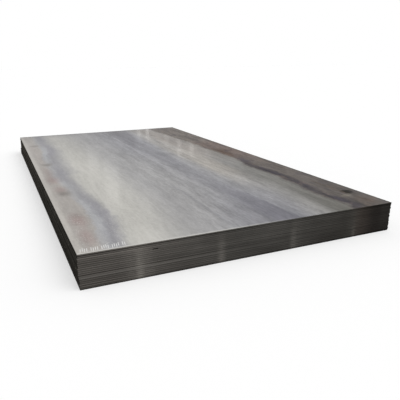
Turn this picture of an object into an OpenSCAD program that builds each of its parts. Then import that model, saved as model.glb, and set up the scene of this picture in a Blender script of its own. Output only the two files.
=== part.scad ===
// Stack of hot-rolled steel plates, lying flat on a level floor.
// Millimetres. X runs across the plates, Y along the rolling direction, Z up.
// The origin is on the floor, under the middle of the stack's box.

/* [Plate] */
// Width of a plate, across the rolling direction
plate_w = 1500; // [900:1:2500]
// Length of a plate, along the rolling direction
plate_l = 3000; // [1500:1:6000]
// Thickness of a plate
plate_t = 8; // [6:0.5:20]

/* [Sheared edge] */
// Radius of the upper arris, which the shear blade drew down
rollover_r = 1; // [0.3:0.1:1.5]
// Height of the smooth band that the blade cut, below the rollover
cut_band_h = 2.4; // [0.5:0.1:3.5]
// How far the torn band below the cut slopes back at the underside
tear_back = 0.6; // [0.1:0.1:1]

/* [Stack] */
// Number of plates in the stack
plate_count = 18; // [2:1:60]
// Number of plates in the lower lift, which was set down first
lower_count = 6; // [1:1:30]
// Turn of the lower lift under the upper one, in degrees
lower_turn = 0.15; // [0:0.01:0.3]
// How far the top plate lies to the right of the bottom one, because the stack leans
lean_x = 3; // [-15:0.5:15]
// How far the top plate lies nearer than the bottom one
lean_y = 4.5; // [-15:0.5:15]
// Largest slip of a plate to either side
slip_x = 1.2; // [0:0.1:4]
// Largest slip of a plate towards either end
slip_y = 0.9; // [0:0.1:4]

/* [Hidden] */
// Steps in the rollover's quarter circle
arc_steps = 4;
// Turn of the slip's direction from one plate to the next, in degrees
slip_turn = 137.5;
// Length by which a section is swept past the plate's own edges
overrun = 20;

NODES = [for (i = [1 : plate_count]) str("plate_", i < 10 ? "0" : "", i)];

// One edge of a plate's section, from the underside up the torn and cut bands and over the arris
function edge_points(half) = concat(
    [[half - tear_back, 0], [half, plate_t - rollover_r - cut_band_h]],
    [for (k = [0 : arc_steps])
        let (a = 90 * k / arc_steps)
        [half - rollover_r * (1 - cos(a)), plate_t - rollover_r * (1 - sin(a))]]);

// A whole section across a span: one edge, then the same edge mirrored
function section_points(span) =
    let (edge = edge_points(span / 2))
    concat(edge, [for (k = [len(edge) - 1 : -1 : 0]) [-edge[k][0], edge[k][1]]]);

// A section across X, swept along Y
module swept_along_y() {
    rotate([90, 0, 0])
        linear_extrude(plate_l + overrun, center = true)
            polygon(section_points(plate_w));
}

// A section across Y, swept along X
module swept_along_x() {
    rotate([90, 0, 90])
        linear_extrude(plate_w + overrun, center = true)
            polygon(section_points(plate_l));
}

// One plate, sheared on all four sides, with its underside at Z = 0
module sheared_plate() {
    intersection() {
        swept_along_y();
        swept_along_x();
    }
}

// Turn of a plate: number 0 is on the floor
function turn_of(number) = number < lower_count ? lower_turn : 0;

// How far a plate's corners reach from its own middle, to the side and to the end
function reach_of(number) =
    let (s = sin(turn_of(number)), c = cos(turn_of(number)))
    [plate_w * c + plate_l * s, plate_l * c + plate_w * s] / 2;

// Place of a plate's middle, from the lean of the whole stack and the plate's own slip
function place_of(number) =
    let (share = number / (plate_count - 1) - 0.5, way = slip_turn * number)
    [lean_x * share + slip_x * sin(way), slip_y * cos(way) - lean_y * share];

// Middle of the stack's box along one axis, 0 for X and 1 for Y
function stack_middle(axis) =
    let (low = [for (n = [0 : plate_count - 1]) place_of(n)[axis] - reach_of(n)[axis]])
    let (high = [for (n = [0 : plate_count - 1]) place_of(n)[axis] + reach_of(n)[axis]])
    (min(low) + max(high)) / 2;

// A plate where it lies: number 0 is on the floor, and each other one is on the plate below it
module plate(number) {
    spot = place_of(number) - [stack_middle(0), stack_middle(1)];
    color("#9c9b9a")
        translate([spot[0], spot[1], plate_t * number])
            rotate([0, 0, turn_of(number)])
                sheared_plate();
}

for (number = [0 : len(NODES) - 1])
    plate(number);
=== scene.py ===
import math
from functools import partialmethod

import bpy
import numpy as np
from mathutils import Matrix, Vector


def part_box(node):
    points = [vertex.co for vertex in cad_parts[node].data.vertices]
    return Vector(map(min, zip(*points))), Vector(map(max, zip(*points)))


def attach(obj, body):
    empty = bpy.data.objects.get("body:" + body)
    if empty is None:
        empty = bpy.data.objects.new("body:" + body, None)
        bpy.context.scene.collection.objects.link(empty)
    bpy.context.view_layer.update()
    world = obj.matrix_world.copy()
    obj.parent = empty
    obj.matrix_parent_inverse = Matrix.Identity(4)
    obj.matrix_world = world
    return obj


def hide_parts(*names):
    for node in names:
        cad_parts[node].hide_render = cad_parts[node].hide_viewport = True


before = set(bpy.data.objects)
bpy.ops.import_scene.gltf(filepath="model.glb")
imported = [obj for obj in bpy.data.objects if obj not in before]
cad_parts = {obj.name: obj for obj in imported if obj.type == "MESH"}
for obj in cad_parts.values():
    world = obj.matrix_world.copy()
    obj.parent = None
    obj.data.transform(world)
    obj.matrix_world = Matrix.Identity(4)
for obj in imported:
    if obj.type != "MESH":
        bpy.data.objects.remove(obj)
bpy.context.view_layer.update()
plateNames = sorted(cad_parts)
print("frame loaded:", len(plateNames), "plates")


# Smooth numbers

def ease(t):  # eased step, 3t^2 - 2t^3 between 0 and 1
    t = np.clip(t, 0.0, 1.0)
    return t * t * (3.0 - 2.0 * t)


def wander(run, total, seed, longest, shortest):
    # Sum of sine waves round a closed edge, each with a whole number of waves so that the ends meet.
    # Long waves are taller than short ones, and the sum is scaled to lie between -1 and 1.
    draw = np.random.default_rng(seed)
    most = 16  # waves in the sum
    counts = np.unique(np.geomspace(total / longest, total / shortest, most).round())
    phase = draw.uniform(0.0, 2.0 * np.pi, len(counts))
    waves = np.sin(2.0 * np.pi * np.outer(run / total, counts) + phase) @ counts ** -0.5
    return waves / np.abs(waves).max()


def addObject(name, data):  # at the origin, in the scene
    piece = bpy.data.objects.new(name, data)
    bpy.context.scene.collection.objects.link(piece)
    return piece


# Plates

plateLook = {
    "stepsAcross": 150,  # points along a sheared end
    "stepsAlong": 300,  # points along a trimmed side
    "cornerRadius": 0.003,  # corners that handling has blunted, m
    "tornSteps": 4,  # rings up the torn band
    "arcSteps": 4,  # rings over the rounded arris
    "tearWander": 0.0009,  # how far the top of the torn band rises and falls, m
    "tearWaves": (0.9, 0.03),  # its longest and shortest waves, m
    "tearRag": 0.00016,  # depth of the ragged tearing, m
    "ragWaves": (0.12, 0.022),
    "arrisWander": 0.25,  # share by which the rounded arris grows and shrinks
    "arrisWaves": (1.5, 0.05),
    "edgeWander": 0.00022,  # how far an edge is from straight, m
    "edgeWaves": (3.0, 0.15),
    "sag": 0.0004,  # depth of the shallow waves in the top face, m
    "flatRim": (0.06, 0.03),  # how far in they start, as shares of the width and the length
    "seedStep": 100,  # keeps the draws of one plate apart from the next one's
}

nick = {
    "plate": "plate_15",  # the plate whose front edge was struck, low down
    "across": 0.1965,  # place along the front edge, as a share of its length
    "width": 0.034,  # m
    "depth": 0.0075,  # m
    "rise": 0.75,  # share of the width over which it deepens
    "fall": 0.2,  # share of the width over which it ends
    "gone": 0.7,  # share of the thickness above which it is gone
    "fade": 0.3,  # share of the thickness in which it fades
}

# Where a plate's surfaces lie in its bake map: boxes of left, low, right, high
bakeBoxes = {
    "inner": {
        "sides": [(0.005, 0.005 + 0.2 * side, 0.995, 0.185 + 0.2 * side) for side in range(4)],
        "underside": (0.005, 0.81, 0.49, 0.995),
        "face": (0.51, 0.81, 0.995, 0.995),
    },
    "upper": {
        "sides": [(0.72 + 0.05 * side, 0.005, 0.76 + 0.05 * side, 0.995) for side in range(4)],
        "underside": (0.925, 0.005, 0.995, 0.145),
        "face": (0.005, 0.005, 0.705, 0.995),
    },
}


def nodePoints(name):  # x, y and z of a CAD node's vertices
    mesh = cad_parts[name].data
    flat = np.empty(len(mesh.vertices) * 3)
    mesh.vertices.foreach_get("co", flat)
    return flat.reshape(-1, 3).T


def plateCorners(name):
    # The four outer corners, counter-clockwise from the near left: extremes of x + y and x - y.
    x, y = nodePoints(name)[:2]
    picks = [np.argmin(x + y), np.argmax(x - y), np.argmax(x + y), np.argmin(x - y)]
    return np.stack([x[picks], y[picks]], axis=1)


def edgeSection(name):
    # The CAD plate's own edge: (inset from the widest outline, height) at each of its levels.
    x, y, z = nodePoints(name)
    levels = np.unique(z.round(6))
    reach = np.array([x[np.abs(z - level) < 1e-5].max() for level in levels])
    return reach.max() - reach, levels - levels[0]


sectionInset, sectionHeight = edgeSection(plateNames[-1])
plateThickness = sectionHeight[-1]
tearBack = sectionInset[0]  # slope of the torn band
tearTop = sectionHeight[sectionInset < 1e-6].min()  # where the smooth cut begins
arrisRadius = sectionInset[-1]  # rounded arris at the top


def roundedOutline(corners, steps, radius):
    # Path round a rectangle: straight runs between the corners with a quarter arc at each one.
    # Every side starts in the middle of an arc. Returns points and outward directions.
    turned = np.roll(corners, -1, axis=0) - corners
    forward = turned / np.linalg.norm(turned, axis=1)[:, None]
    outward = np.stack([forward[:, 1], -forward[:, 0]], axis=1)
    first = np.radians([45.0, 67.5])[:, None]
    final = np.radians([22.5])[:, None]
    places = []
    facing = []
    for side in range(4):
        own = outward[side]
        start = corners[side] + radius * (forward[side] - own)
        end = corners[(side + 1) % 4] - radius * (forward[side] + own)
        arcIn = np.cos(first) * outward[side - 1] + np.sin(first) * own
        arcOut = np.cos(final) * own + np.sin(final) * forward[side]
        t = np.linspace(0.0, 1.0, steps[side] + 1)[:, None]
        straight = start + (end - start) * t + radius * own
        places += [start + radius * arcIn, straight, end + radius * arcOut]
        facing += [arcIn, np.repeat(own[None], len(t), axis=0), arcOut]
    return np.concatenate(places), np.concatenate(facing)


def struckInset(points, corners):
    # A bite out of the front edge: it deepens along the blow and ends steeply. Points that lie further than
    # its width from the front line have none.
    offset = points - corners[0]
    span = corners[1] - corners[0]
    length = np.linalg.norm(span)
    onFront = np.abs(offset @ np.array([-span[1], span[0]])) / length < nick["width"]
    t = (offset @ span / (span @ span) - nick["across"]) * length / nick["width"] + 0.5
    return nick["depth"] * onFront * ease(t / nick["rise"]) * ease((1.0 - t) / nick["fall"])


def edgeSurface(points, facing, base, seed, bite):
    # Profile carried round the outline, from the underside up: a torn band that slopes back, a smooth
    # cut band, and a quarter circle over the arris. All three change slowly along the edge, and the bite
    # is taken out of its lower part.
    run = np.concatenate([[0.0], np.cumsum(np.linalg.norm(np.diff(points, axis=0), axis=1))])
    total = run[-1] + np.linalg.norm(points[0] - points[-1])

    def waves(kind, draw):
        return wander(run, total, seed + draw, *plateLook[kind + "Waves"])

    tear = tearTop + plateLook["tearWander"] * waves("tear", 0)
    arris = arrisRadius * (1.0 + plateLook["arrisWander"] * waves("arris", 1))
    bow = plateLook["edgeWander"] * (0.5 + 0.5 * waves("edge", 2))
    rows = np.linspace(0.0, 1.0, plateLook["tornSteps"], endpoint=False)
    tornHeight = rows[:, None] * tear
    rag = np.stack([waves("rag", 3 + k) for k in range(len(rows))])
    tornInset = tearBack * (1.0 - rows[:, None]) + plateLook["tearRag"] * (1.0 + rag)
    cutHeight = np.stack([tear, 0.5 * (tear + plateThickness - arris)])
    angle = np.linspace(0.0, np.pi / 2, plateLook["arcSteps"] + 1)[:, None]
    arcHeight = plateThickness - arris * (1.0 - np.sin(angle))
    arcInset = arris * (1.0 - np.cos(angle))
    height = np.concatenate([tornHeight, cutHeight, arcHeight])
    struck = bite * ease((nick["gone"] - height / plateThickness) / nick["fade"])
    inset = np.concatenate([tornInset, np.zeros_like(cutHeight), arcInset]) + bow + struck
    xy = points[None] - facing[None] * inset[:, :, None]
    return np.concatenate([xy, base + height[:, :, None]], axis=2)


def ringFaces(rings, stations):
    # Quads between each ring and the one above it, closed round the edge, facing out.
    k, s = np.meshgrid(np.arange(rings - 1), np.arange(stations), indexing="ij")
    after = (s + 1) % stations
    quads = [k * stations + s, k * stations + after, (k + 1) * stations + after, (k + 1) * stations + s]
    return np.stack(quads, axis=-1).reshape(-1, 4)


def topGrid(rim, firstIndex, across, along, depth):
    # Coons patch over the rim: each pair of facing sides is blended straight across, the two are added
    # and the blend of the corners is taken away. Shallow waves then lower the middle of the face.
    stations = np.arange(len(rim))
    near = stations[: across + 1]
    right = stations[across: across + along + 1]
    far = stations[across + along: 2 * across + along + 1][::-1]
    left = np.append(stations[2 * across + along:], 0)[::-1]
    u = np.linspace(0.0, 1.0, across + 1)[None, :, None]
    v = np.linspace(0.0, 1.0, along + 1)[:, None, None]
    lengthwise = (1.0 - v) * rim[near][None] + v * rim[far][None]
    crosswise = (1.0 - u) * rim[left][:, None] + u * rim[right][:, None]
    nearPair = (1.0 - u) * rim[near[0]] + u * rim[near[-1]]
    farPair = (1.0 - u) * rim[far[0]] + u * rim[far[-1]]
    grid = lengthwise + crosswise - ((1.0 - v) * nearPair + v * farPair)
    x, y = grid[..., 0], grid[..., 1]
    waves = np.sin(2.3 * y + 1.1) * np.cos(3.1 * x + 0.4) + 0.5 * np.sin(5.3 * y - 2.2 * x)
    rimAcross, rimAlong = plateLook["flatRim"]
    inside = ease(u[..., 0] / rimAcross) * ease((1.0 - u[..., 0]) / rimAcross)
    inside = inside * ease(v[..., 0] / rimAlong) * ease((1.0 - v[..., 0]) / rimAlong)
    grid[..., 2] -= depth * inside * (0.5 + waves / 3.0)
    index = np.full((along + 1, across + 1), -1)
    index[0], index[-1] = near, far
    index[:, 0], index[:, -1] = left, right
    index[1:-1, 1:-1] = len(rim) + np.arange((along - 1) * (across - 1)).reshape(along - 1, across - 1)
    index = index + firstIndex
    quads = [index[:-1, :-1], index[:-1, 1:], index[1:, 1:], index[1:, :-1]]
    return grid[1:-1, 1:-1].reshape(-1, 3), np.stack(quads, axis=-1).reshape(-1, 4)


def inBox(box, a, b):  # a runs from the box's left to its right and b from low to high, both from 0 to 1
    left, low, right, high = box
    return np.stack([left + (right - left) * a, low + (high - low) * b], axis=-1)


def edgeMap(boxes, counts, rings):
    # Each side of the edge as a strip: the way along it fills the longer side, the way up the shorter one.
    strips = []
    for box, count in zip(boxes, counts):
        s = np.arange(count)[None, :] / count + np.zeros((rings - 1, 1))
        k = np.arange(rings - 1)[:, None] / (rings - 1) + np.zeros((1, count))
        along = np.stack([s, s + 1.0 / count, s + 1.0 / count, s], axis=-1)
        up = np.stack([k, k, k + 1.0 / (rings - 1), k + 1.0 / (rings - 1)], axis=-1)
        lying = box[2] - box[0] > box[3] - box[1]
        strips.append(inBox(box, along, up) if lying else inBox(box, up, along))
    return np.concatenate(strips, axis=1).reshape(-1, 2)


def faceMap(box, points):  # a face seen from above, stretched over its box
    share = (points[:, :2] - points[:, :2].min(axis=0)) / np.ptp(points[:, :2], axis=0)
    return inBox(box, share[:, 0], share[:, 1])


def makePlate(name, number, materials):
    corners = plateCorners(name)
    steps = [plateLook["stepsAcross"], plateLook["stepsAlong"]] * 2
    points, facing = roundedOutline(corners, steps, plateLook["cornerRadius"])
    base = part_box(name)[0].z
    bite = struckInset(points, corners) if name == nick["plate"] else 0.0
    edge = edgeSurface(points, facing, base, plateLook["seedStep"] * (number + 1), bite)
    rings, stations = edge.shape[:2]
    vertices = edge.reshape(-1, 3)
    walls = ringFaces(rings, stations)
    underside = np.arange(stations)[None, ::-1]
    rimStart = (rings - 1) * stations
    counts = [step + 4 for step in steps]  # stations of each side, with its share of the corners
    isUpper = name == plateNames[-1]
    if isUpper:
        inner, face = topGrid(edge[-1], rimStart, counts[0], counts[1], plateLook["sag"])
        vertices = np.concatenate([vertices, inner])
    else:
        face = np.arange(stations)[None] + rimStart
    faces = walls.tolist() + underside.tolist() + face.tolist()
    mesh = bpy.data.meshes.new("milled_" + name)
    mesh.from_pydata(vertices.tolist(), [], faces)
    for material in materials:
        mesh.materials.append(material)
    isEdge = np.arange(len(faces)) < len(walls)
    mesh.polygons.foreach_set("material_index", np.where(isEdge, 1, 0).astype(np.int32))
    mesh.polygons.foreach_set("use_smooth", isEdge | isUpper & (np.arange(len(faces)) > len(walls)))
    boxes = bakeBoxes["upper" if isUpper else "inner"]
    layout = [
        edgeMap(boxes["sides"], counts, rings),
        faceMap(boxes["underside"], vertices[underside.ravel()]),
        faceMap(boxes["face"], vertices[face.ravel()]),
    ]
    bakeLayer = mesh.uv_layers.new(name="OFBake")
    bakeLayer.uv.foreach_set("vector", np.concatenate(layout).astype(np.float32).ravel())
    mesh.update()
    piece = addObject("milled_" + name, mesh)
    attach(piece, "root")
    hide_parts(name)


# Node tools

class Wire:  # what a node puts out, to be reckoned with like a number
    def __init__(self, socket):
        self.socket = socket
        self.tree = socket.id_data

    def calc(self, operation, *others, clamp=False):
        return addWire(self.tree, "Math", (self, *others), operation=operation, use_clamp=clamp)

    __add__ = partialmethod(calc, "ADD")
    __sub__ = partialmethod(calc, "SUBTRACT")
    __rsub__ = partialmethod(calc, "MULTIPLY_ADD", -1.0)  # a number less this
    __mul__ = partialmethod(calc, "MULTIPLY")
    __rmul__ = __mul__
    __truediv__ = partialmethod(calc, "DIVIDE")
    __abs__ = partialmethod(calc, "ABSOLUTE")

    def ramp(self, low, high, start=0.0, end=1.0):  # eased from start at low to end at high
        values = (self, low, high, start, end)
        return addWire(self.tree, "MapRange", values, interpolation_type="SMOOTHSTEP")

    def swing(self, start=-1.0, end=1.0):  # ramp over the levels that most of a noise has
        return self.ramp(0.3, 0.7, start, end)

    def follow(self, points):  # smooth curve through (place, value) points, or the one number given
        if not isinstance(points, list):
            return points
        node = addNode(self.tree, "FloatCurve")
        node.mapping.use_clip = False
        curve = node.mapping.curves[0]
        curve.points[0].location = points[0]
        curve.points[-1].location = points[-1]
        for spot in points[1:-1]:
            curve.points.new(*spot)
        for point in curve.points:
            point.handle_type = "AUTO_CLAMPED"
        node.mapping.update()
        feed(node.inputs["Value"], self)
        return Wire(node.outputs[0])

    def vector(self, operation, *others):
        node = addNode(self.tree, "VectorMath", (self, *others), operation=operation)
        return Wire(node.outputs["Value" if operation == "LENGTH" else "Vector"])

    def axes(self):  # x, y and z
        return [Wire(socket) for socket in addNode(self.tree, "SeparateXYZ", (self,)).outputs]

    def cloud(self, scale=1.0, detail=2.0, roughness=0.5):  # noise from 0 to 1
        node = addNode(self.tree, "TexNoise")
        feedAll(node.inputs, {"Vector": self, "Scale": scale, "Detail": detail, "Roughness": roughness})
        return Wire(node.outputs["Fac"])

    def squeezedCloud(self, squeeze, detail=3.0, roughness=0.6):
        return self.vector("MULTIPLY", squeeze).cloud(1.0, detail, roughness)

    def drawn(self):  # a number from 0 to 1 for each whole number that this passes
        node = addNode(self.tree, "TexWhiteNoise", noise_dimensions="1D")
        feed(node.inputs["W"], self.calc("FLOOR"))
        return Wire(node.outputs["Value"])


def addNode(tree, kind, inputs=(), **settings):  # inputs in the node's own order
    node = tree.nodes.new("ShaderNode" + kind)
    for key, value in settings.items():
        setattr(node, key, value)
    for socket, value in zip(node.inputs, inputs):
        feed(socket, value)
    return node


def addWire(tree, kind, inputs, **settings):  # what a new node puts out first
    return Wire(addNode(tree, kind, inputs, **settings).outputs[0])


def feed(socket, value):  # a wire is linked, a plain value is written
    if isinstance(value, Wire):
        value.tree.links.new(value.socket, socket)
    else:
        socket.default_value = value


def feedAll(sockets, values):  # values by the labels or numbers of their sockets
    for label, value in values.items():
        feed(sockets[label], value)


def wires(node):  # all that a node puts out, by label
    return {socket.name: Wire(socket) for socket in node.outputs}


def tint(tree, factor, first, second, blend="MIX"):
    node = addNode(tree, "Mix", data_type="RGBA", blend_type=blend)
    feedAll(node.inputs, {0: factor, 6: first, 7: second})  # numbers of the factor and the colours
    return Wire(node.outputs[2])


def shaded(colour, amount):  # a colour made lighter or darker by a value that changes over the surface
    grey = addWire(amount.tree, "CombineColor", [amount] * 3)
    return tint(amount.tree, 1.0, colour, grey, "MULTIPLY")


def screen(red, green, blue):  # a colour as seen on screen, 0 to 255, to Blender's linear one
    seen = np.array([red, green, blue]) / 255.0
    linear = np.where(seen < 0.04045, seen / 12.92, ((seen + 0.055) / 1.055) ** 2.4)
    return (*linear.tolist(), 1.0)


def paint(colour, mask, shade):  # lays a screen colour over another colour
    return tint(mask.tree, mask, colour, screen(*shade))


def newGroup(name, inputs):  # starts an effect, and gives wires from its inputs
    group = bpy.data.node_groups.new(name, "ShaderNodeTree")
    for label, value in inputs.items():
        kind = "NodeSocketVector" if isinstance(value, tuple) else "NodeSocketFloat"
        socket = group.interface.new_socket(label, in_out="INPUT", socket_type=kind)
        socket.default_value = value
    given = group.nodes.new("NodeGroupInput").outputs
    return group, [Wire(given[label]) for label in inputs]


def putOut(group, **values):  # ends an effect
    for label in values:
        group.interface.new_socket(label, in_out="OUTPUT", socket_type="NodeSocketFloat")
    feedAll(group.nodes.new("NodeGroupOutput").inputs, values)
    return group


def place(tree, group, **values):  # uses an effect
    node = addNode(tree, "Group", node_tree=group)
    feedAll(node.inputs, values)
    return wires(node)


def startMaterial(name):
    material = bpy.data.materials.new(name)
    material.use_nodes = True
    return material, material.node_tree, material.node_tree.nodes["Principled BSDF"].inputs


def finishMaterial(tree, sockets, look, height, values):
    # Feeds what changes over the surface. What is the same all over is set on the shader's own sockets.
    feedAll(sockets, values)
    grey = look["mirrorTint"]
    sockets["Specular IOR Level"].default_value = 0.0
    sockets["Specular Tint"].default_value = (grey, grey, grey, 1.0)
    strength, depth = look["relief"]
    relief = addNode(tree, "Bump")
    feedAll(relief.inputs, {"Strength": strength, "Distance": depth, "Height": height})
    feed(sockets["Normal"], Wire(relief.outputs[0]))


# Shared effects

origin = (0.0, 0.0, 0.0)


def makeRollGrain():
    # Streaks left by the rolls: noise squeezed across the rolling direction, in a coarse and a fine size.
    # A slower noise first moves the place sideways, so that the streaks waver and break up.
    inputs = {"Vector": origin, "Squeeze": (40.0, 4.0, 40.0), "Waver": 0.0}
    group, (spot, squeeze, waver) = newGroup("rollGrain", inputs)
    sideways = addWire(group, "CombineXYZ", ((spot.cloud(6.0) - 0.5) * waver,))
    squeezed = spot.vector("ADD", sideways).vector("MULTIPLY", squeeze)
    return putOut(group, Streak=squeezed.cloud(1.0, 3.0, 0.6), Fine=squeezed.cloud(3.1, 3.0, 0.65))


def makeArrisShading():
    # Painted highlight and shade at an arris: full at the arris and gone at a reach which noise makes longer
    # and shorter
    inputs = {"Vector": origin, "Distance": 1.0, "Reach": 0.01, "Squeeze": (20.0, 20.0, 20.0), "Breakup": 0.8}
    group, (spot, distance, reach, squeeze, breakup) = newGroup("arrisShading", inputs)
    rough = spot.squeezedCloud(squeeze, 4.0) - 0.5
    return putOut(group, Wear=distance.ramp((rough * breakup + 0.5) * 2.0 * reach, 0.0))


def makeScaleBand():
    # A band between a left and a right edge, eased over the softness of each. Both edges sway together by a
    # slow noise and have ragged lobes by a quick one, so that the band is a tide mark and not a stripe.
    inputs = {
        "Across": 0.0, "Along": 0.0, "Left": -1.0, "Right": 2.0, "Left Soft": 0.02, "Right Soft": 0.02,
        "Strength": 1.0, "Sway": 0.0, "Lobes": 0.0, "Seed": 0.0,
    }
    group, given = newGroup("scaleBand", inputs)
    across, along, left, right, leftSoft, rightSoft, strength, sway, lobes, seed = given
    wavesAlong, wavesAcross = 5.0, 6.0
    walk = addWire(group, "CombineXYZ", (along * wavesAlong, across * wavesAcross, seed))
    slow = walk.cloud(1.0, 1.0) - 0.5
    quick = abs(walk.cloud(4.3, 4.0, 0.62) - 0.5) - 0.1  # folded noise, less what it mostly is
    moved = across - (slow * sway + quick * lobes)
    halfLeft = leftSoft * 0.5
    halfRight = rightSoft * 0.5
    rising = moved.ramp(left - halfLeft, left + halfLeft)
    falling = moved.ramp(right + halfRight, right - halfRight)
    return putOut(group, Band=(rising * falling).calc("MULTIPLY", strength, clamp=True))


def makeBlot():
    # A round mark: the distance from its centre in radii, roughened by noise, eased from full to nothing
    inputs = {"Vector": origin, "Centre": origin, "Radius": (1.0, 1.0, 1.0), "Softness": 0.4, "Breakup": 0.6}
    group, (spot, centre, radius, softness, breakup) = newGroup("blot", inputs)
    rough = spot.cloud(28.0, 3.0, 0.6) - 0.5
    away = rough * breakup + spot.vector("SUBTRACT", centre).vector("DIVIDE", radius).vector("LENGTH")
    return putOut(group, Blot=away.ramp(softness + 1.0, 1.0 - softness))


def makeDriedRim():
    # A curved line left where water dried: a parabola that sags in its middle and fades at both ends
    inputs = {
        "Across": 0.0, "Along": 0.0, "Middle": 0.0, "Low": 0.0,
        "Reach": 0.03, "Sag": 0.03, "Thickness": 0.026,
    }
    group, (across, along, middle, low, reach, sag, thickness) = newGroup("driedRim", inputs)
    side = (across - middle) / reach
    away = abs(along - (side * side * sag + low))
    return putOut(group, Rim=away.ramp(thickness, 0.0) * abs(side).ramp(1.0, 0.2))


rollGrain = makeRollGrain()
arrisShading = makeArrisShading()
scaleBand = makeScaleBand()
blot = makeBlot()
driedRim = makeDriedRim()
print("shared effects ready")


# mask of painted highlight and shade along an arris
def arrisShadingMask(spot, distance, reach):
    return place(spot.tree, arrisShading, Vector=spot, Distance=distance, Reach=reach)["Wear"]


def paintBands(colour, bands, across, along):
    # Lays each band's shade over what is there already, and gives the colour and each band's own mask.
    # What a band doesn't say is as the effect has it.
    masks = {}
    seedStep = 7.3  # enough for bands to have unlike noise
    for number, (name, band) in enumerate(bands.items()):
        softLeft, softRight = band["soft"]
        values = {"Left Soft": softLeft, "Right Soft": softRight, "Seed": seedStep * number}
        for label in ("Left", "Right", "Strength", "Sway", "Lobes", "Seed"):
            if label.lower() in band:
                values[label] = along.follow(band[label.lower()])
        masks[name] = place(across.tree, scaleBand, Across=across, Along=along, **values)["Band"]
        colour = paint(colour, masks[name], band["shade"])
    return colour, masks


def shifted(path, by):  # a path moved across
    return [(spot, value + by) for spot, value in path]


# Mill scale on the rolled faces

# Places are shares of the plate's width from the left and of its length from the near end. A path gives the
# place across for places along, and shades are screen colours.
marginPath = [
    (0.0, 0.848), (0.02, 0.862), (0.045, 0.863), (0.075, 0.852), (0.11, 0.852), (0.135, 0.854),
    (0.155, 0.868), (0.175, 0.87), (0.2, 0.866), (0.235, 0.873), (0.26, 0.872), (0.3, 0.866), (0.335, 0.858),
    (0.385, 0.874), (0.445, 0.884), (0.52, 0.882), (0.6, 0.87), (0.68, 0.868), (0.8, 0.85), (1.0, 0.83),
]
bluePath = [
    (0.0, 0.112), (0.05, 0.116), (0.115, 0.13), (0.2, 0.127), (0.27, 0.112), (0.35, 0.109), (0.39, 0.093),
    (0.46, 0.091), (0.56, 0.097), (0.66, 0.104), (0.72, 0.12), (0.77, 0.119), (0.85, 0.103), (1.0, 0.109),
]
palePath = [
    (0.0, 0.548), (0.36, 0.543), (0.45, 0.525), (0.52, 0.513), (0.7, 0.519), (0.9, 0.515), (1.0, 0.513),
]
marginShape = {"soft": (0.03, 0.02), "lobes": 0.08, "seed": 3.0}  # shared by bands that run together
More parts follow.
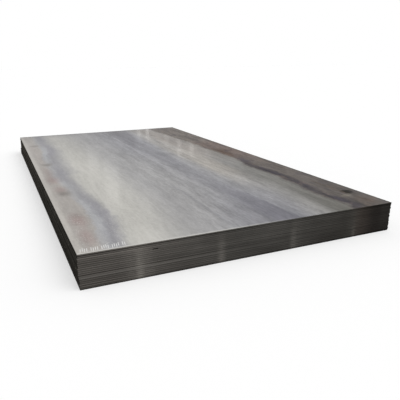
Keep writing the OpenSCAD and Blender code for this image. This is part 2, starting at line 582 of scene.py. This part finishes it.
tideBands = {
    "coolRun": {
        "left": [(0.0, 0.44), (0.15, 0.5), (0.3, 0.51), (0.5, 0.47), (0.65, 0.44), (1.0, 0.4)],
        "right": [(0.0, 0.7), (0.12, 0.73), (0.2, 0.7), (0.28, 0.66), (0.45, 0.645), (1.0, 0.69)],
        "soft": (0.2, 0.08), "sway": 0.03, "lobes": 0.03, "shade": (145, 145, 150),
        "strength": [(0.0, 1.0), (0.12, 0.85), (0.25, 0.6), (0.5, 0.62), (0.65, 0.95), (1.0, 1.0)],
    },
    "nearRun": {
        "left": 0.47, "right": 0.64, "soft": (0.12, 0.04), "sway": 0.03, "lobes": 0.05,
        "strength": [(0.0, 0.7), (0.05, 0.6), (0.1, 0.25), (0.16, 0.0), (1.0, 0.0)],
        "shade": (128, 127, 131),
    },
    "paleRun": {
        "left": [
            (0.0, 0.13), (0.1, 0.145), (0.2, 0.142), (0.28, 0.128), (0.4, 0.128), (0.46, 0.148),
            (0.6, 0.15), (0.7, 0.165), (0.8, 0.158), (1.0, 0.142),
        ],
        "right": [(0.0, 0.27), (0.2, 0.29), (0.4, 0.29), (0.6, 0.285), (0.8, 0.27), (1.0, 0.25)],
        "soft": (0.06, 0.17), "sway": 0.03, "lobes": 0.07, "shade": (198, 196, 190),
        "strength": [(0.0, 0.95), (0.15, 1.0), (0.5, 1.0), (0.75, 1.0), (0.9, 0.9), (1.0, 0.6)],
    },
    "darkRun": {
        "left": [(0.0, 0.565), (0.14, 0.565), (0.28, 0.545), (0.45, 0.55), (0.63, 0.53), (1.0, 0.54)],
        "right": [
            (0.0, 0.655), (0.2, 0.63), (0.35, 0.618), (0.5, 0.63), (0.7, 0.62), (0.9, 0.645), (1.0, 0.66),
        ],
        "soft": (0.05, 0.022), "sway": 0.02, "lobes": 0.04, "shade": (119, 118, 125),
        "strength": [
            (0.0, 1.0), (0.12, 0.75), (0.21, 0.5), (0.29, 0.3), (0.4, 0.4), (0.5, 0.5), (0.57, 0.4),
            (0.62, 0.3), (0.71, 0.55), (0.8, 0.85), (1.0, 0.95),
        ],
    },
    "thinPale": {
        "left": shifted(palePath, -0.006), "right": shifted(palePath, 0.006), "soft": (0.012, 0.012),
        "strength": [(0.0, 0.0), (0.25, 0.1), (0.36, 0.6), (0.5, 0.4), (0.65, 0.6), (1.0, 0.4)],
        "lobes": 0.02, "shade": (168, 167, 171),
    },
    "thinDark": {
        "left": 0.434, "right": 0.442, "soft": (0.01, 0.01), "lobes": 0.02, "shade": (140, 140, 144),
        "strength": [(0.0, 0.3), (0.085, 0.5), (0.23, 0.4), (0.35, 0.0), (1.0, 0.0)],
    },
    "warmRun": {
        "left": 0.67, "right": 0.78, "soft": (0.05, 0.06), "sway": 0.03, "lobes": 0.03,
        "strength": [(0.0, 0.1), (0.12, 0.1), (0.25, 0.4), (0.4, 0.9), (0.7, 0.6), (1.0, 0.4)],
        "shade": (169, 164, 157),
    },
    "warmEdge": {
        "left": [(0.0, 0.8), (0.4, 0.79), (0.6, 0.75), (1.0, 0.72)], "right": shifted(marginPath, 0.02),
        "soft": (0.08, 0.03), "sway": 0.02, "lobes": 0.03, "shade": (147, 138, 130),
        "strength": [(0.0, 0.0), (0.35, 0.05), (0.45, 0.4), (0.6, 0.7), (1.0, 0.8)],
    },
    # the scale's dull band, with painted shade in its strength, greater towards the near end
    "dullRun": {
        "left": [(0.0, 0.75), (0.12, 0.76), (0.25, 0.765), (0.4, 0.785), (0.55, 0.815), (1.0, 0.83)],
        "soft": (0.13, 0.02), "sway": 0.02, "shade": (108, 106, 100),
        "strength": [(0.0, 0.95), (0.12, 0.85), (0.3, 0.72), (0.5, 0.5), (0.7, 0.35), (1.0, 0.3)],
    },
    "rightMargin": {"left": marginPath, **marginShape, "shade": (125, 119, 114)},
    # painted shade, darker towards the near end of the right margin
    "marginFall": {
        "left": marginPath, **marginShape, "shade": (97, 93, 90),
        "strength": [(0.0, 1.0), (0.2, 0.75), (0.4, 0.5), (0.55, 0.4), (0.68, 0.0), (1.0, 0.0)],
    },
    "rustMargin": {
        "left": shifted(marginPath, 0.004), **marginShape, "shade": (119, 106, 101),
        "strength": [(0.0, 0.05), (0.35, 0.1), (0.45, 0.6), (0.6, 0.7), (0.76, 0.0), (1.0, 0.0)],
    },
    "waterLine": {
        "left": shifted(marginPath, 0.003), "right": shifted(marginPath, 0.037),
        **marginShape, "soft": (0.024, 0.034), "shade": (68, 65, 71),
        "strength": [
            (0.0, 0.7), (0.05, 0.8), (0.1, 0.55), (0.16, 0.85), (0.2, 0.65), (0.27, 0.9), (0.33, 0.65),
            (0.37, 0.75), (0.42, 0.5), (0.46, 0.15), (0.55, 0.1), (0.65, 0.0), (1.0, 0.0),
        ],
    },
    "leftMargin": {
        "right": shifted(bluePath, -0.035), "soft": (0.02, 0.03), "lobes": 0.04, "shade": (176, 171, 166),
    },
    "paleTrail": {
        "left": shifted(bluePath, -0.045), "right": shifted(bluePath, -0.01), "soft": (0.02, 0.02),
        "strength": [
            (0.0, 0.4), (0.06, 0.6), (0.12, 0.8), (0.22, 0.7), (0.29, 0.2), (0.36, 0.6), (0.5, 0.3),
            (0.57, 0.4), (0.66, 1.0), (0.78, 0.9), (0.82, 0.2), (1.0, 0.2),
        ],
        "lobes": 0.05, "shade": (178, 179, 182),
    },
    "blueLine": {
        "left": shifted(bluePath, -0.016), "right": shifted(bluePath, 0.018), "soft": (0.03, 0.034),
        "strength": [
            (0.0, 0.55), (0.1, 0.72), (0.18, 0.74), (0.25, 0.5), (0.32, 0.38), (0.4, 0.6), (0.46, 0.75),
            (0.54, 0.5), (0.62, 0.55), (0.7, 0.9), (0.78, 0.8), (0.85, 0.75), (0.92, 1.0), (1.0, 0.75),
        ],
        "lobes": 0.09, "shade": (150, 149, 155),
    },
    "leftStrip": {
        "right": 0.018, "soft": (0.02, 0.014), "lobes": 0.02, "strength": 0.85, "shade": (192, 188, 182),
    },
    # painted shade, darker towards the far end
    "farFall": {
        "left": 0.0, "soft": (0.4, 0.1), "shade": (124, 122, 122),
        "strength": [(0.0, 0.0), (0.55, 0.0), (0.75, 0.12), (0.9, 0.2), (1.0, 0.5)],
    },
}
roundSpots = {  # places and radii across and along, strength
    "bloom": {
        "shade": (156, 138, 135), "softness": 0.9, "breakup": 1.0,
        "at": [
            (0.041, 0.755, 0.02, 0.055, 0.12), (0.042, 0.62, 0.018, 0.045, 0.15),
            (0.042, 0.46, 0.016, 0.05, 0.35), (0.043, 0.392, 0.022, 0.028, 0.6),
            (0.049, 0.313, 0.018, 0.022, 0.55), (0.048, 0.13, 0.02, 0.026, 0.75),
            (0.046, 0.057, 0.016, 0.03, 0.6),
        ],
    },
    "deepRust": {
        "shade": (96, 81, 71), "softness": 0.8, "breakup": 1.0,
        "at": [
            (0.9, 0.495, 0.022, 0.045, 0.7), (0.94, 0.53, 0.02, 0.018, 0.5),
            (0.95, 0.03, 0.022, 0.018, 0.4),
        ],
    },
    "blotch": {
        "shade": (122, 121, 124), "softness": 0.7, "breakup": 1.0,
        "at": [
            (0.645, 0.54, 0.018, 0.018, 0.5), (0.5, 0.38, 0.01, 0.05, 0.2),
            (0.655, 0.62, 0.02, 0.03, 0.22), (0.735, 0.62, 0.02, 0.03, 0.22),
        ],
    },
    "smudge": {
        "shade": (138, 133, 122), "softness": 0.6, "breakup": 0.8,
        "at": [(0.926, 0.064, 0.02, 0.006, 0.55)],
    },
    "stain": {
        "shade": (44, 43, 38), "softness": 0.35, "breakup": 0.5,
        "at": [(0.9585, 0.083, 0.021, 0.0105, 0.9), (0.947, 0.0885, 0.008, 0.0045, 0.6)],
    },
}
millScale = {
    "ground": (168, 167, 167),
    "bands": tideBands,
    "spots": roundSpots,
    # curved lines where water dried: place across and along of the lowest point, reach, sag, strength
    "dried": (136, 131, 126),
    "driedRims": [
        (0.055, 0.545, 0.034, 0.02, 0.75), (0.05, 0.812, 0.034, 0.01, 0.6), (0.055, 0.284, 0.032, 0.004, 0.7),
        (0.05, 0.152, 0.024, 0.004, 0.3),
    ],
    # patches on the dull right margin: shade, levels of their noise (none, full), strength
    "patches": {"violet": ((86, 82, 90), 0.52, 0.68, 0.4), "brown": ((120, 108, 101), 0.46, 0.32, 0.5)},
    # how much lighter and darker each kind of marking makes the scale, at the left and from the middle on
    "middle": (0.25, 0.5),  # places across where the left ends and the middle begins
    "markings": {
        "streak": (0.055, 0.095), "fine": (0.025, 0.078), "mottle": (0.04, 0.075), "clouds": (0.06, 0.07),
        "shadow": (0.0, 0.13),
    },
    "grit": 0.12,  # the same for the grit on the dull right margin
    # how fine the noise of each is along X, Y and Z
    "squeeze": {
        "grain": (45.0, 4.5, 45.0), "shadow": (19.0, 2.3, 19.0), "mottle": (95.0, 48.0, 95.0),
        "clouds": (5.0, 2.0, 5.0), "grit": (60.0, 9.0, 60.0), "patches": (26.0, 9.0, 26.0),
    },
    "grainWaver": 0.03,  # how far streaks waver, m
    "shadowWaver": 0.05,
    "speck": (206, 204, 201),  # pale specks near the near left corner
    "speckFineness": 170.0,
    "speckLevels": (0.6, 0.7),  # levels of their noise (none, full)
    "speckAcross": (0.5, 0.0),  # places (none, full)
    "speckAlong": (0.35, 0.1),
    "speckStrength": 0.6,
    "arrisHighlight": (206, 204, 200),  # painted highlight along the near arris
    "highlightReach": 0.02,  # m
    "highlightAcross": (0.7, 0.3, 0.0, 0.95),
    "farDirt": (112, 111, 112),  # painted shade along the far arris
    "farReach": 0.05,
    "rightDirt": (78, 75, 73),  # and along the right one
    "rightReach": 0.012,
    "arrisShadeStrength": 0.6,
    "ledge": (62, 60, 57),  # painted shade on what shows of the plates below the top one
    "ledgeReach": 0.02,
    "dullSpots": 0.6,  # how dull spots are, beside the right margin
    "roughness": (0.1, 0.06, 0.3),  # least, added by the streaks, added where it is dull
    "metallic": (0.42, -0.25),  # most, added where it is dull
    "mirrorTint": 0.6,
    "relief": (0.02, 0.001),  # strength, depth in m
}

# A count of the plates in paint stick: a plain stroke for each one, in groups of four
tally = {
    "count": len(plateNames),
    "group": 4,
    "left": 0.008,  # share of the width
    "low": 0.0055,  # share of the length
    "pitch": 0.008,  # m from stroke to stroke
    "tall": 0.04,  # m
    "stroke": 0.55,  # share of the pitch
    "lean": 0.7,  # how far a stroke's head leans, in pitches
    "uneven": 0.3,  # how much strokes differ in height
    "core": 0.4,  # share of a stroke's width that is solid
    "foot": 0.15,  # share of the height over which strokes begin
    "head": 0.2,  # and end
    "fineness": 240.0,  # of the breaks in the paint
    "breaks": (0.3, 0.5, 0.35, 0.95),  # levels of their noise (low, high), cover at each
    "shade": (228, 228, 226),
}


def paintSpots(colour, spots, spot, low, width, length):
    # Lays each round spot over the colour, and gives the colour and one mask of all the spots
    anyHeight = 1000.0
    spotted = 0.0
    for kind in spots.values():
        for across, along, wide, long, strength in kind["at"]:
            centre = (low.x + across * width, low.y + along * length, 0.0)
            radius = (wide * width, long * length, anyHeight)
            edge = {"Softness": kind["softness"], "Breakup": kind["breakup"]}
            mask = place(spot.tree, blot, Vector=spot, Centre=centre, Radius=radius, **edge)["Blot"]
            mask = mask * strength
            colour = paint(colour, mask, kind["shade"])
            spotted = mask.calc("MAXIMUM", spotted)
    return colour, spotted


def paintTally(colour, spot, left, near, width, length):
    # Strokes are counted along the row in pitches: a stroke's own place is what is left after whole pitches,
    # and each group is followed by a gap as wide as one stroke.
    height = (near - tally["low"] * length) / tally["tall"]
    count = (left - tally["left"] * width) / tally["pitch"] - height * tally["lean"]
    half = 0.5 * tally["stroke"]
    stroke = abs(count.calc("FRACT") - 0.5).ramp(half, tally["core"] * half)
    inGroup = count.calc("FLOORED_MODULO", tally["group"] + 1.0).calc("LESS_THAN", tally["group"])
    total = tally["count"] + (tally["count"] - 1) // tally["group"]
    inRow = count.calc("GREATER_THAN", 0.0) * count.calc("LESS_THAN", total)
    uneven = (count.drawn() - 0.5) * tally["uneven"] + height
    inLine = uneven.ramp(0.0, tally["foot"]) * uneven.ramp(1.0, 1.0 - tally["head"])
    chalky = spot.cloud(tally["fineness"]).ramp(*tally["breaks"])
    return paint(colour, stroke * inGroup * inRow * inLine * chalky, tally["shade"])


def makeMillScale(look, low, high):
    material, tree, sockets = startMaterial("millScale")
    spot = wires(addNode(tree, "TexCoord"))["Object"]
    x, y, z = spot.axes()
    width, length = high.x - low.x, high.y - low.y
    leftEdge = x - low.x
    rightEdge = high.x - x
    nearEdge = y - low.y
    farEdge = high.y - y
    across = leftEdge / width
    along = nearEdge / length
    colour, masks = paintBands(screen(*look["ground"]), look["bands"], across, along)
    margin = masks["rightMargin"]
    colour, spotted = paintSpots(colour, look["spots"], spot, low, width, length)
    for middle, lowest, reach, sag, strength in look["driedRims"]:
        values = {"Middle": middle, "Low": lowest, "Reach": reach, "Sag": sag}
        rim = place(tree, driedRim, Across=across, Along=along, **values)["Rim"]
        colour = paint(colour, rim * strength, look["dried"])
    squeeze = look["squeeze"]
    patches = spot.squeezedCloud(squeeze["patches"])
    for shade, none, full, strength in look["patches"].values():
        colour = paint(colour, margin * patches.ramp(none, full) * strength, shade)
    # rolling streaks, fine lines, mottling, broad clouds and long shadows, lighter and darker than the band
    grain = place(tree, rollGrain, Vector=spot, Squeeze=squeeze["grain"], Waver=look["grainWaver"])
    shadow = place(tree, rollGrain, Vector=spot, Squeeze=squeeze["shadow"], Waver=look["shadowWaver"])
    mottle = spot.squeezedCloud(squeeze["mottle"])
    clouds = spot.squeezedCloud(squeeze["clouds"], 2.0, 0.5)
    markings = {
        "streak": grain["Streak"], "fine": grain["Fine"], "mottle": mottle, "clouds": clouds,
        "shadow": shadow["Streak"],
    }
    grit = spot.squeezedCloud(squeeze["grit"], 3.0, 0.7).swing() * margin
    tone = grit * look["grit"] + 1.0
    for name, marking in markings.items():
        tone = marking.swing() * across.ramp(*look["middle"], *look["markings"][name]) + tone
    colour = shaded(colour, tone)
    specks = spot.cloud(look["speckFineness"]).ramp(*look["speckLevels"])
    nearLeft = across.ramp(*look["speckAcross"]) * along.ramp(*look["speckAlong"])
    colour = paint(colour, specks * nearLeft * look["speckStrength"], look["speck"])
    # painted highlight along the near arris, fading towards the right
    arrisHighlight = arrisShadingMask(spot, nearEdge, look["highlightReach"]) * across.ramp(*look["highlightAcross"])
    colour = paint(colour, arrisHighlight, look["arrisHighlight"])
    # painted shade along the far and right arrises
    for name, distance in (("far", farEdge), ("right", rightEdge)):
        darkArrisMask = arrisShadingMask(spot, distance, look[name + "Reach"]) * look["arrisShadeStrength"]
        colour = paint(colour, darkArrisMask, look[name + "Dirt"])
    colour = paintTally(colour, spot, leftEdge, nearEdge, width, length)
    nearest = leftEdge
    for distance in (rightEdge, nearEdge, farEdge):
        nearest = nearest.calc("MINIMUM", distance)
    # painted shade on the ledges of the plates below the top one
    covered = z.ramp(high.z - 0.25 * plateThickness, high.z - 0.75 * plateThickness)  # below the top plate
    colour = paint(colour, arrisShadingMask(spot, nearest, look["ledgeReach"]) * covered, look["ledge"])
    # rust and the right margin are dull
    dull = margin.calc("MAXIMUM", spotted * look["dullSpots"])
    least, byStreaks, byDull = look["roughness"]
    most, lessByDull = look["metallic"]
    finishMaterial(tree, sockets, look, mottle, {
        "Base Color": colour,
        "Roughness": dull * byDull + grain["Streak"] * byStreaks + least,
        "Metallic": dull * lessByDull + most,
    })
    return material


# Sheared edges

shearedEdge = {
    "ground": (75, 73, 70),
    # bands across the sheared ends, with painted light at the left (warmEnd) and painted shade towards the
    # right (dimRun, darkEnd, lastEnd)
    "bands": {
        "warmEnd": {"right": 0.2, "soft": (0.1, 0.6), "shade": (91, 87, 83)},
        "dimRun": {"left": 0.72, "soft": (0.3, 0.1), "shade": (60, 58, 55)},
        "brownFall": {"left": 0.855, "right": 0.93, "soft": (0.03, 0.02), "shade": (64, 59, 55)},
        "darkEnd": {"left": 0.907, "soft": (0.07, 0.1), "shade": (44, 41, 39)},
        "lastEnd": {"left": 0.96, "soft": (0.012, 0.1), "shade": (47, 45, 43)},
    },
    "nearSide": (57, 55, 51),  # trimmed sides at the near end
    "farSide": (73, 70, 65),
    "chip": (100, 97, 91),  # specks on them
    # pale marks where lashings rubbed: place across, half width, strength, shares of the height (gone, full)
    "rub": (132, 128, 122),
    "rubMarks": [
        (0.156, 0.058, 0.42, 1.6, 0.2), (0.157, 0.016, 0.8, 1.1, 0.1), (0.391, 0.019, 0.38, 1.2, 0.15),
        (0.638, 0.032, 0.09, 2.0, 0.3), (0.627, 0.016, 0.28, 1.0, 0.1),
        (0.852, 0.036, 0.09, 2.2, 0.4), (0.855, 0.011, 0.2, 0.6, 0.0),
    ],
    # painted shadow lines along the floor, under the top plate's arris and at a joint above the lower lift:
    # level in plates from the floor, strength at the left and at the right, with the places across where the
    # left ends and the right begins
    "darkLines": [(17.12, 0.65, 0.4), (7.2, 0.45, 0.1), (0.45, 0.5, 0.5)],
    "darkAcross": (0.25, 0.65),
    # how fine the noise of each marking is along X, Y and Z
    "squeeze": {
        "grain": (3.0, 3.0, 300.0), "patch": (4.0, 4.0, 10.0), "scuff": (40.0, 40.0, 120.0),
        "chip": (45.0, 45.0, 125.0),
    },
    "chipLevels": (0.64, 0.74, 0.0, 0.7),  # levels of their noise (low, high), strength at each
    "scuffLevels": (0.3, 0.6, 0.6, 1.1),  # the same for the breaks in the rub marks
    # tones, which make the edge lighter and darker. A row of four is two places and the value at each.
    "streak": (0.84, 1.16),
    "patch": (0.88, 1.12),
    "unlikeAcross": (0.05, 0.4, 0.36, 0.12),  # from plate to plate, by place across
    "unlikeUp": (0.2, 0.4, 0.4, 1.0),  # and by share of the stack's height
    "topTone": (0.2, 0.5, 1.22, 1.1),  # at the top, by place across
    "floorTone": [(0.0, 1.02), (0.12, 0.96), (0.5, 0.94), (1.0, 0.82)],  # painted shade at the floor, darker towards the right
    "bodyTone": 1.04,  # clear of the floor
    "cutTone": 1.08,
    "tornTone": (0.02, 0.25, 0.68, 0.92),  # torn band below the cut, by place across
    "arrisTone": (0.15, 0.6, 1.0, 0.5),  # and the arris above it, with painted shade towards the right
    # where they change: shares of the stack's height, shares of a plate's thickness, plates away
    "reach": {
        "top": (0.4, 0.9), "floor": (0.0, 0.25), "torn": (0.62, 0.5), "arris": (0.8, 0.95),
        "line": (0.5, 0.15), "ledge": (0.6, 0.15),
    },
    "arrisHighlight": (112, 108, 103),  # painted highlight along the arrises, stronger at the left
    "highlightReach": 0.002,  # m
    "highlightAcross": (0.75, 0.25, 0.05, 0.35),
    "ledge": (108, 105, 101),  # painted highlight on the arris of the lower lift's top plate
    "ledgeLevel": 6.0,  # plates from the floor
    "ledgeAcross": (0.1, 0.65, 0.75, 0.0),
    # painted shade inside the nick
    "nickShade": (20, 19, 18),
    "nickShadeDepth": (0.002, 0.004),  # how far in from the end the nick's painted shade starts and is full, m
    "endDepth": 0.02,  # how far in from the ends of the stack their faces reach, m
    "roughness": (0.5, 0.7),
    "metallic": 0.25,
    "mirrorTint": 0.3,
    "relief": (0.25, 0.0005),  # strength, depth in m
}


def makeShearedEdge(look, width, length):
    material, tree, sockets = startMaterial("shearedEdge")
    coords = wires(addNode(tree, "TexCoord"))
    spot = coords["Object"]
    x, y, z = spot.axes()
    across = x / width + 0.5
    level = z / plateThickness  # plates from the floor
    height = level.calc("FRACT")  # share of the plate's thickness
    share = level / len(plateNames)  # share of the stack's height
    atEnd = abs(y).calc("GREATER_THAN", 0.5 * length - look["endDepth"])
    turned = abs(coords["Normal"].axes()[1])  # 1 where a surface faces an end
    endFace = turned.ramp(0.3, 0.7) * atEnd
    colour = paintBands(screen(*look["ground"]), look["bands"], across, share)[0]
    squeeze = look["squeeze"]
    scuffed = spot.squeezedCloud(squeeze["scuff"]).ramp(*look["scuffLevels"])
    for middle, halfWidth, strength, gone, full in look["rubMarks"]:
        rub = abs(across - middle).ramp(halfWidth, 0.0) * share.ramp(gone, full, 0.0, strength) * scuffed
        colour = paint(colour, rub, look["rub"])
    farAway = y.ramp(-0.5 * length, 0.5 * length)
    side = tint(tree, farAway, screen(*look["nearSide"]), screen(*look["farSide"]))
    chips = spot.squeezedCloud(squeeze["chip"], 2.0, 0.5)
    side = paint(side, chips.ramp(*look["chipLevels"]), look["chip"])
    colour = tint(tree, 1.0 - endFace, colour, side)
    # streaks, patches, plates unlike each other, the stack's top, painted shade at the floor, and the bands
    # of a plate's edge
    grain = place(tree, rollGrain, Vector=spot, Squeeze=squeeze["grain"])
    unlike = across.ramp(*look["unlikeAcross"]) * share.ramp(*look["unlikeUp"])
    reach = look["reach"]
    tones = [
        grain["Streak"].swing(*look["streak"]),
        spot.squeezedCloud(squeeze["patch"], 3.0, 0.55).swing(*look["patch"]),
        (level.drawn() - 0.5) * unlike + 1.0,
        share.ramp(*reach["top"], 1.0, across.ramp(*look["topTone"])),
        # painted shade at the floor
        share.ramp(*reach["floor"], across.follow(look["floorTone"]), look["bodyTone"]),
        height.ramp(*reach["torn"], look["cutTone"], across.ramp(*look["tornTone"])),
        # painted shade on the arris towards the right
        height.ramp(*reach["arris"], 1.0, across.ramp(*look["arrisTone"])),
    ]
    # painted shadow lines
    for line, leftEnd, rightEnd in look["darkLines"]:
        strength = across.ramp(*look["darkAcross"], 1.0 - leftEnd, 1.0 - rightEnd)
        tones.append(abs(level - line).ramp(*reach["line"], 1.0, strength))
    colour = shaded(colour, math.prod(tones))
    # painted highlight along each plate's arris
    arrisHighlight = arrisShadingMask(spot, (1.0 - height) * plateThickness, look["highlightReach"])
    colour = paint(colour, arrisHighlight * endFace * across.ramp(*look["highlightAcross"]), look["arrisHighlight"])
    # painted highlight on the arris of the lower lift's top plate
    ledge = abs(level - look["ledgeLevel"]).ramp(*reach["ledge"]) * across.ramp(*look["ledgeAcross"])
    colour = paint(colour, ledge * endFace, look["ledge"])
    # painted shade in the nick, which lies back from the near end of its own plate
    nickLow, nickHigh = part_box(nick["plate"])
    inPlate = z.calc("COMPARE", 0.5 * (nickLow.z + nickHigh.z), 0.5 * plateThickness)
    hollow = (y - nickLow.y).ramp(*look["nickShadeDepth"]) * y.calc("LESS_THAN", 0.0)
    colour = paint(colour, hollow * inPlate * endFace, look["nickShade"])
    finishMaterial(tree, sockets, look, grain["Fine"], {
        "Base Color": colour,
        "Roughness": grain["Fine"].swing(*look["roughness"]),
        "Metallic": endFace * look["metallic"],
    })
    return material


topLow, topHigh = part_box(plateNames[-1])
plateWidth = topHigh.x - topLow.x
plateLength = topHigh.y - topLow.y
finishes = [makeMillScale(millScale, topLow, topHigh), makeShearedEdge(shearedEdge, plateWidth, plateLength)]
print("materials ready")
for number, name in enumerate(plateNames):
    makePlate(name, number, finishes)
print("plates built")


# Studio

studio = {
    "floorReach": 60.0,  # m each way
    "floorDrop": 0.0005,  # just clear of the lowest plate, m
    "floorShade": 0.6,  # what the floor sends back of the light on it
    "ambient": 0.55,  # world light on the object
    "sunTurn": (26.0, 10.0),  # lean of the soft overhead light about X and Y, degrees
    "sunSpread": 70.0,  # how wide that light is, degrees
    "sunStrength": 1.6,
    # strips beyond the far end, which show as soft columns in the satin face: place, width, height, watts
    "strips": {
        "broadStrip": ((1.025, 5.654, 1.757), 0.287, 0.904, 0.385),
        "sideStrip": ((0.713, 5.719, 1.388), 0.205, 0.585, 0.152),
        "wallStrip": ((2.213, 5.261, 0.935), 1.558, 0.428, 0.456),
        "columnA": ((1.572, 5.513, 0.792), 0.064, 0.141, 0.036),
        "columnB": ((1.726, 5.465, 0.75), 0.064, 0.171, 0.065),
        "columnC": ((2.069, 5.35, 0.892), 0.077, 0.155, 0.035),
        "columnD": ((2.291, 5.267, 1.063), 0.066, 0.201, 0.065),
        "columnE": ((2.516, 5.176, 1.096), 0.066, 0.157, 0.061),
        "columnF": ((2.801, 5.05, 1.176), 0.078, 0.119, 0.03),
    },
}

cameraView = {
    "place": (-0.9648, -3.0977, 0.8081),
    "heading": 23.8152,  # degrees to the right of +Y
    "pitch": -16.6437,
    "roll": -0.5196,
    "pixels": 400.0,  # width of the picture
    "focalPixels": 465.65,  # focal length in pixels of that picture
    "sensor": 36.0,  # mm
    "reach": 200.0,  # m
}

white = (1.0, 1.0, 1.0, 1.0)


def backdropSeen(tree):  # 1 for rays that show the background itself: camera, glossy and transmission rays
    path = wires(addNode(tree, "LightPath"))
    direct = path["Is Camera Ray"].calc("MAXIMUM", path["Is Glossy Ray"])
    return direct.calc("MAXIMUM", path["Is Transmission Ray"])


def makeFloor():
    reach = studio["floorReach"]
    corners = [(x * reach, y * reach, -studio["floorDrop"]) for x, y in ((-1, -1), (1, -1), (1, 1), (-1, 1))]
    mesh = bpy.data.meshes.new("floor")
    mesh.from_pydata(corners, [], [(0, 1, 2, 3)])
    floor = addObject("floor", mesh)
    material, tree, sockets = startMaterial("paleFloor")
    shade = studio["floorShade"]
    feedAll(sockets, {
        "Base Color": (shade, shade, shade, 1.0), "Roughness": 1.0, "Specular IOR Level": 0.0,
        "Emission Color": white, "Emission Strength": backdropSeen(tree) * (1.0 - shade),
    })
    mesh.materials.append(material)


def makeWorld():
    world = bpy.data.worlds.new("studio")
    bpy.context.scene.world = world
    world.use_nodes = True
    backdrop = world.node_tree.nodes["Background"].inputs
    feed(backdrop["Color"], white)
    feed(backdrop["Strength"], backdropSeen(world.node_tree).ramp(0.0, 1.0, studio["ambient"], 1.0))


def addLight(name, kind, power):
    data = bpy.data.lights.new(name, kind)
    data.energy = power
    return addObject(name, data)


def makeSun():
    lamp = addLight("softSun", "SUN", studio["sunStrength"])
    lamp.data.angle = math.radians(studio["sunSpread"])
    lamp.rotation_euler = [math.radians(turn) for turn in studio["sunTurn"]] + [0.0]


def makeStrip(name, spot, wide, tall, power):  # faces the plates and is seen only in them
    lamp = addLight(name, "AREA", power)
    lamp.data.shape = "RECTANGLE"
    lamp.data.size = wide
    lamp.data.size_y = tall
    lamp.location = spot
    lamp.rotation_euler = (math.radians(90.0), 0.0, math.atan2(-spot[0], spot[1]) + math.pi)
    lamp.visible_camera = False


def makeCamera(view):
    data = bpy.data.cameras.new("camera")
    data.sensor_width = view["sensor"]
    data.lens = view["focalPixels"] * view["sensor"] / view["pixels"]
    data.clip_end = view["reach"]
    camera = addObject("camera", data)
    turn = Matrix.Rotation(math.radians(-view["heading"]), 4, "Z")
    tilt = Matrix.Rotation(math.radians(90.0 + view["pitch"]), 4, "X")
    roll = Matrix.Rotation(math.radians(view["roll"]), 4, "Z")
    camera.matrix_world = Matrix.Translation(view["place"]) @ turn @ tilt @ roll
    bpy.context.scene.camera = camera


makeFloor()
makeWorld()
makeSun()
for name, (spot, wide, tall, power) in studio["strips"].items():
    makeStrip(name, spot, wide, tall, power)
makeCamera(cameraView)
bpy.context.scene.view_settings.view_transform = "Standard"
print("studio ready")
